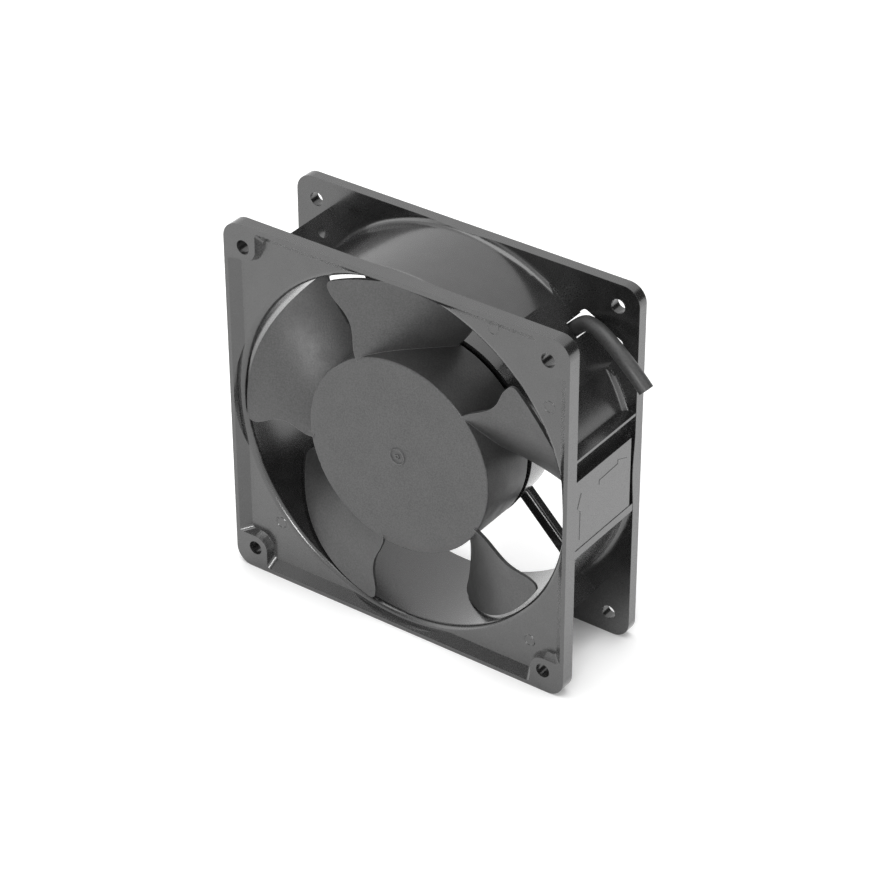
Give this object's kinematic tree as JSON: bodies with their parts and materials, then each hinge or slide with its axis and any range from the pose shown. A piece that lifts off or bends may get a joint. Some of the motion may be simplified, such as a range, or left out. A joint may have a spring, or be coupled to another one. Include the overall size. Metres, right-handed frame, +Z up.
{
  "type": "axial fan",
  "caption": "Square axial fan for a rack: black cast frame with a round duct, struts that carry the motor base, a bladed impeller driven by the motor in its hub, and a short supply lead.",
  "frame": {"origin": "middle of the square frame's bottom edge, halfway through its depth", "axes": "+Y along the fan's axis from the inlet side to the outlet side, +Z up, +X to the right as seen from the inlet"},
  "size_m": [0.128, 0.038, 0.119],
  "materials": {
    "frame_paint": "satin black paint",
    "impeller_plastic": "fine matte texture",
    "lead_jacket": "soft satin",
    "bright_steel": "ground",
    "core_steel": "rolled",
    "winding_copper": "varnished copper",
    "liner_plastic": "moulded",
    "cage_aluminium": "cast"
  },
  "bodies": {
    "frame": {"housing": "frame_paint", "rear_cap": "frame_paint", "bearing_tube": "bright_steel", "front_bearing_outer": "bright_steel", "rear_bearing_outer": "bright_steel", "bearing_spacer": "bright_steel", "wave_washer": "bright_steel", "stator_core": "core_steel", "front_liner": "liner_plastic", "rear_liner": "liner_plastic", "coil_1": "winding_copper", "coil_2": "winding_copper", "coil_3": "winding_copper", "coil_4": "winding_copper", "shading_band_1": "winding_copper", "shading_band_2": "winding_copper", "shading_band_3": "winding_copper", "shading_band_4": "winding_copper", "held_lead": "lead_jacket", "supply_lead": "lead_jacket"},
    "rotor": {"impeller": "impeller_plastic", "rotor_cup": "core_steel", "rotor_core": "core_steel", "front_cage_ring": "cage_aluminium", "rear_cage_ring": "cage_aluminium", "shaft": "bright_steel", "shaft_collar": "bright_steel", "front_bearing_inner": "bright_steel", "rear_bearing_inner": "bright_steel", "retaining_ring": "bright_steel"}
  },
  "joints": [
    {"name": "impeller_spin", "type": "hinge", "parent": "frame", "child": "rotor", "pos_m": [0, 0, 0.0595], "axis": [0, -1, 0], "continuous": true}
  ]
}
